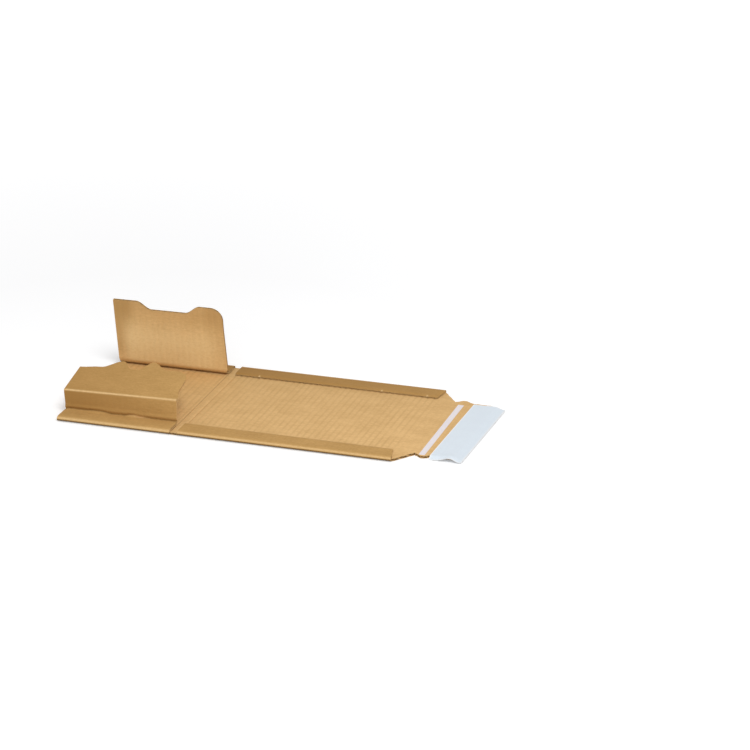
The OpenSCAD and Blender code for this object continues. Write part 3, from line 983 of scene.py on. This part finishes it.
def blend_line(side, run, t_a, t_b):
    """Start and end of a bend, so that each seam lies wholly with its own body"""
    points = []
    for t in (t_a, t_b):
        y, z, heading = (float(v) for v in run.at(np.array(t)))
        points.append([(y - w * math.sin(heading), z + w * math.cos(heading)) for w in (0, board)])
    along = Vector((sum(p[0] for p in points[1]) - sum(p[0] for p in points[0]),
                    sum(p[1] for p in points[1]) - sum(p[1] for p in points[0]))).normalized()
    first = max(Vector(p).dot(along) for p in points[0])
    last = min(Vector(p).dot(along) for p in points[1])
    ends = [along * first, along * last]
    return [(0, side * e.x * MM, e.y * MM) for e in ends]


def spine():
    edge = half_w - CUT_EDGE
    t_line = rows((-edge, -floor_w, 2), (-floor_w, floor_w, FLOOR_ROWS), (floor_w, edge, 2))
    s, t = sheet_grid(columns(base_x1, wrap_x0), t_line)
    flat_run = Run((half_w, 0))
    for piece in board_piece("spine", flat_run, s, t):
        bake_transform(piece)


def wrap_board():
    root = t_strip_end - NICK_ROOT
    t_line = rows((-t_strip_end, -root, 2), (-root, -t_strip, STRIP_ROWS),
                  (-t_strip, -t_fold, FOLD_ROWS), (-t_fold, t_fold, FLOOR_ROWS),
                  (t_fold, t_strip, FOLD_ROWS), (t_strip, root, STRIP_ROWS), (root, t_strip_end, 2))
    s, t = sheet_grid(columns(wrap_x0, taper_x0, NICKS), t_line)
    cut_back = relief(t) * smooth((s - taper_x0 + RELIEF_FADE) / RELIEF_FADE)
    tabs = NICK_REACH * sum(bump(s, x, NICK_HALF) for x in NICKS) * smooth((t - root) / NICK_ROOT)
    for piece in board_piece("wrap", plain_run, s - cut_back, t + tabs):
        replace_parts(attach(piece, "wrap"), "wrap_panel")


def seal_limit(x):
    """Half width of the taper and the seal flap over x"""
    taper = np.interp(x, [taper_x0, taper_x1], [half_w - CUT_EDGE, TAPER_Y])
    taper = taper - SCALLOP * (1 - flute_phase(x)) ** 2 * smooth((taper_x1 - x) / SCALLOP_FADE)
    root = taper_x1 + NICK_W
    side = swells(x, [(root, TAPER_Y), (root + SEAL_RISE, SEAL_ROOT_Y),
                      (root + SEAL_RISE + SEAL_FALL, SEAL_END_Y)])
    nick = NICK_D * np.clip(1 - np.abs(x - taper_x1 - NICK_W / 2) / (NICK_W / 2), 0, 1)
    return rounded_end(x, np.where(x < taper_x1, taper, side) - nick, board_x1, SEAL_CORNER)


def seal_board():
    extra = [taper_x1, taper_x1 + NICK_W / 2, taper_x1 + NICK_W, *corner_columns(board_x1, SEAL_CORNER, 8)]
    line = columns(taper_x0, board_x1, extra)
    half = to_edge(0, seal_limit(line), 12)
    t = np.concatenate([-half[:0:-1], half])
    s = np.broadcast_to(line, t.shape)
    for piece in board_piece("seal", Run((half_w, 0)), s, t):
        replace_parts(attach(piece, "wrap"), "wrap_panel")


# The closure

def thin_sheet(name, slot, s, t, z, thickness, rim=0.0):
    """A sheet of film or paper, with a whiter rim of some width where it was cut"""
    low = np.stack([s, t, z], -1)
    high = np.stack([s, t, z + thickness], -1)
    flat = [np.concatenate([low.reshape(-1, 3), high.reshape(-1, 3)])]
    cut = np.zeros(s.shape)
    if rim:
        inset = np.minimum(np.minimum(s - s[:, :1], s[:, -1:] - s), np.minimum(t - t[:1], t[-1:] - t))
        cut = RIM_SHARE * smooth(1 - inset / rim)
    marks = {"sheet": flat, "wear_and_painted_light": [np.concatenate([cut.ravel(), cut.ravel()])]}
    obj = build(name, [(low, high)], [FINISH[slot], FINISH[slot]], marks)
    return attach(obj, "wrap")


def board_top(s):
    """Height of the inner facing's ridges over the table"""
    return board + LAID_ON_RIDGES * RIDGE_INSIDE * (flute_phase(s) ** VALLEY_POWER - 1)


def tear_strip():
    line = columns(tear_lo[0] + TAPE_INSET, tear_hi[0])
    s, t = sheet_grid(line, np.linspace(tear_lo[1], tear_hi[1], TAPE_ROWS))
    z = board_top(s) + TAPE_LIFT + TAPE_UNEVEN * ripple(s, t, TAPE_UNEVEN_SIZE, seed=21)
    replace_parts(thin_sheet("tear_strip_tape", "tear_tape", s, t, z, TAPE_THICKNESS), "tear_strip")


def adhesive_band():
    line = columns(glue_lo[0], glue_hi[0])
    s, t = sheet_grid(line, np.linspace(glue_lo[1], glue_hi[1], TAPE_ROWS))
    edge = np.minimum(s - glue_lo[0], glue_hi[0] - s)
    z = board_top(s) - BEAD_SINK
    thickness = BEAD_EDGE + BEAD_CROWN * smooth(edge / BEAD_SHOULDER)
    thickness = thickness + BEAD_UNEVEN * ripple(s, t, BEAD_UNEVEN_SIZE, seed=22)
    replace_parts(thin_sheet("adhesive_bead", "adhesive", s, t, z, thickness), "adhesive_band")


def release_liner():
    """Coated paper that lies on the adhesive a little turned, breaks over the board's end, arches up
    at both sides and sags past the board's front edge"""
    line = columns(liner_lo[0], liner_hi[0], [board_x1])
    s, t = sheet_grid(line, np.linspace(liner_lo[1], liner_hi[1], LINER_ROWS))
    past = s - board_x1
    droop = DROOP * smooth(np.clip(past, 0, None) / DROOP_RUN)
    front = np.clip((FRONT_ARCH_Y - t) / FRONT_ARCH_RUN, 0, 1) ** ARCH_POWER
    back = np.clip((t - BACK_ARCH_Y) / BACK_ARCH_RUN, 0, 1) ** ARCH_POWER
    ridge = bump(s, board_x1 - ARCH_IN, ARCH_W)
    sag = SAG * smooth((SAG_Y - t) / SAG_RUN) * smooth((board_x1 + SAG_END - s) / SAG_END)
    arch = ridge * (FRONT_ARCH * front + BACK_ARCH * back + SAG_ARCH * sag)
    z = board_top(s) + PAPER_LIFT - droop - sag + arch
    z = z + PAPER_UNEVEN * ripple(s, t, PAPER_UNEVEN_SIZE, seed=31)
    turn = math.radians(LINER_TURN)
    turned = s + t * turn
    t = t - (s - (liner_lo[0] + liner_hi[0]) / 2) * turn
    liner = thin_sheet("release_paper", "release_paper", turned, t, z, PAPER_THICKNESS, PAPER_RIM)
    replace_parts(liner, "release_liner")


# Camera, floor and light

CAMERA_AT = (1.1706, -2.8645, 1.2098)
CAMERA_TOWARDS = (-0.2842, 0.8890, -0.3591)
CAMERA_LENS = 148.69
FLOOR_COLOUR = (0.88, 0.88, 0.885)
FLOOR_REACH, FLOOR_Z = 30, -0.00005
FLOOR_GLOW, FAR_GLOW = 0.19, 0.5
GLOW_RISES_AT, GLOW_FULL_AT = 0.4, 1.6
WORLD_LIGHT = 0.62
KEY_AT = (0.80, -1.0, 1.75)
KEY_AIM = (0.15, 0, 0)
KEY_SIZE = 0.9
KEY_POWER = 20
FILL_AT = (0.5, -1.85, 0.5)
FILL_AIM = (0.1, 0, 0.03)
FILL_SIZE = 1.2
FILL_POWER = 6.8


def camera():
    data = bpy.data.cameras.new("camera")
    data.lens = CAMERA_LENS
    data.sensor_width = 36
    data.clip_end = 100
    obj = bpy.data.objects.new("camera", data)
    bpy.context.scene.collection.objects.link(obj)
    obj.location = CAMERA_AT
    obj.rotation_mode = "QUATERNION"
    obj.rotation_quaternion = Vector(CAMERA_TOWARDS).to_track_quat("-Z", "Y")
    bpy.context.scene.camera = obj


def seen_directly(n):
    """1 for rays from the camera, a gloss or clear matter, else 0"""
    path = n.add("ShaderNodeLightPath")
    seen = n.math("MAXIMUM", path.outputs["Is Camera Ray"], path.outputs["Is Glossy Ray"])
    return n.math("MAXIMUM", seen, path.outputs["Is Transmission Ray"])


def floor():
    """Plain pale floor: matt, with a little light of its own to the eye, which grows with distance, so
    that it reads as white"""
    mesh = bpy.data.meshes.new("floor")
    sides = ((-1, -1), (1, -1), (1, 1), (-1, 1))
    mesh.from_pydata([(x * FLOOR_REACH, y * FLOOR_REACH, FLOOR_Z) for x, y in sides], [], [(0, 1, 2, 3)])
    obj = bpy.data.objects.new("floor", mesh)
    bpy.context.scene.collection.objects.link(obj)
    material = bpy.data.materials.new("floor")
    material.use_nodes = True
    tree = material.node_tree
    tree.nodes.clear()
    n = Nodes(tree)
    matt = n.add("ShaderNodeBsdfDiffuse", {"Color": (*FLOOR_COLOUR, 1)})
    place_on_floor = n.add("ShaderNodeNewGeometry").outputs["Position"]
    away = n.add("ShaderNodeVectorMath", {0: place_on_floor}, operation="LENGTH").outputs["Value"]
    amount = n.ramp(away, GLOW_RISES_AT, GLOW_FULL_AT, FLOOR_GLOW, FAR_GLOW)
    glow = n.add("ShaderNodeEmission", {"Color": (1, 1, 1, 1),
                                        "Strength": n.math("MULTIPLY", seen_directly(n), amount)})
    both = n.add("ShaderNodeAddShader", {0: matt.outputs[0], 1: glow.outputs[0]})
    n.add("ShaderNodeOutputMaterial", {0: both.outputs[0]})
    mesh.materials.append(material)


def world():
    made = bpy.data.worlds.new("studio")
    bpy.context.scene.world = made
    made.use_nodes = True
    tree = made.node_tree
    tree.nodes.clear()
    n = Nodes(tree)
    strength = n.add("ShaderNodeMix", {0: seen_directly(n), 2: WORLD_LIGHT, 3: 1.0}, data_type="FLOAT")
    sky = n.add("ShaderNodeBackground", {"Color": (1, 1, 1, 1), "Strength": strength.outputs[0]})
    n.add("ShaderNodeOutputWorld", {0: sky.outputs[0]})


def lamp(name, place_at, aim, size, power):
    data = bpy.data.lights.new(name, "AREA")
    data.shape = "DISK"
    data.size = size
    data.energy = power
    obj = bpy.data.objects.new(name, data)
    bpy.context.scene.collection.objects.link(obj)
    obj.location = place_at
    obj.rotation_mode = "QUATERNION"
    obj.rotation_quaternion = (Vector(aim) - Vector(place_at)).to_track_quat("-Z", "Y")


camera()
floor()
world()
lamp("key", KEY_AT, KEY_AIM, KEY_SIZE, KEY_POWER)
lamp("fill", FILL_AT, FILL_AIM, FILL_SIZE, FILL_POWER)

base_board()
front_flap()
back_flap()
spine()
wrap_board()
seal_board()
tear_strip()
adhesive_band()
release_liner()

scene = bpy.context.scene
scene.view_settings.view_transform = "Standard"

bpy.context.view_layer.update()
